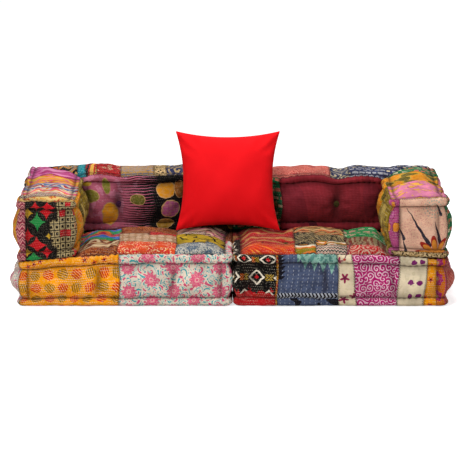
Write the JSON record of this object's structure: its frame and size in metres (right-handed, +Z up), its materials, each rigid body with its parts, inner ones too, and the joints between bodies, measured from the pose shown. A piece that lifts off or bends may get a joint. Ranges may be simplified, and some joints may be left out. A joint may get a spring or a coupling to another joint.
{
  "type": "modular floor sofa",
  "caption": "Low patchwork floor sofa of modular corner seats: tufted seat mattresses with arm and back bolsters sewn on top, and a loose scatter cushion.",
  "frame": {"origin": "on the floor, midway between the outer ends and between the front and the rear", "axes": "+X along the sofa to the viewer's right, -Y to the front, +Z up"},
  "size_m": [1.4248, 0.7248, 0.5258],
  "materials": {
    "patchwork_cotton": "quilted patchwork of printed cotton with running stitches",
    "underside_cotton": "plain woven cotton",
    "cotton_wadding": "loose cotton wadding",
    "tufting_cord": "twisted cotton cord",
    "button_cotton": "cloth-covered button",
    "red_cotton": "plain matt cotton weave"
  },
  "bodies": {
    "left_module": {"left_seat_base_cloth": "underside_cotton", "left_seat_bottom_rolled_edge": "patchwork_cotton", "left_seat_side_band": "patchwork_cotton", "left_seat_top_rolled_edge": "patchwork_cotton", "left_seat_top_panel": "patchwork_cotton", "left_seat_filling": "cotton_wadding", "left_seat_tuft_cords": "tufting_cord", "left_seat_tuft_buttons": "button_cotton", "left_arm_base_cloth": "underside_cotton", "left_arm_bottom_rolled_edge": "patchwork_cotton", "left_arm_side_band": "patchwork_cotton", "left_arm_top_rolled_edge": "patchwork_cotton", "left_arm_top_panel": "patchwork_cotton", "left_arm_filling": "cotton_wadding", "left_arm_tuft_cords": "tufting_cord", "left_arm_tuft_buttons": "button_cotton", "left_back_base_cloth": "underside_cotton", "left_back_bottom_rolled_edge": "patchwork_cotton", "left_back_side_band": "patchwork_cotton", "left_back_top_rolled_edge": "patchwork_cotton", "left_back_top_panel": "patchwork_cotton", "left_back_filling": "cotton_wadding", "left_back_tuft_cords": "tufting_cord", "left_back_tuft_buttons": "button_cotton"},
    "right_module": {"right_seat_base_cloth": "underside_cotton", "right_seat_bottom_rolled_edge": "patchwork_cotton", "right_seat_side_band": "patchwork_cotton", "right_seat_top_rolled_edge": "patchwork_cotton", "right_seat_top_panel": "patchwork_cotton", "right_seat_filling": "cotton_wadding", "right_seat_tuft_cords": "tufting_cord", "right_seat_tuft_buttons": "button_cotton", "right_arm_base_cloth": "underside_cotton", "right_arm_bottom_rolled_edge": "patchwork_cotton", "right_arm_side_band": "patchwork_cotton", "right_arm_top_rolled_edge": "patchwork_cotton", "right_arm_top_panel": "patchwork_cotton", "right_arm_filling": "cotton_wadding", "right_arm_tuft_cords": "tufting_cord", "right_arm_tuft_buttons": "button_cotton", "right_back_base_cloth": "underside_cotton", "right_back_bottom_rolled_edge": "patchwork_cotton", "right_back_side_band": "patchwork_cotton", "right_back_top_rolled_edge": "patchwork_cotton", "right_back_top_panel": "patchwork_cotton", "right_back_filling": "cotton_wadding", "right_back_tuft_cords": "tufting_cord", "right_back_tuft_buttons": "button_cotton"},
    "scatter_cushion": {"cushion_front_panel": "red_cotton", "cushion_back_panel": "red_cotton", "cushion_filling": "cotton_wadding"}
  },
  "joints": [
    {"name": "right_module_apart", "type": "slide", "parent": "left_module", "child": "right_module", "axis": [1, 0, 0], "range_m": [0, 0.45]},
    {"name": "cushion_lift", "type": "slide", "parent": "left_module", "child": "scatter_cushion", "axis": [0, 0, 1], "range_m": [0, 0.4]}
  ]
}
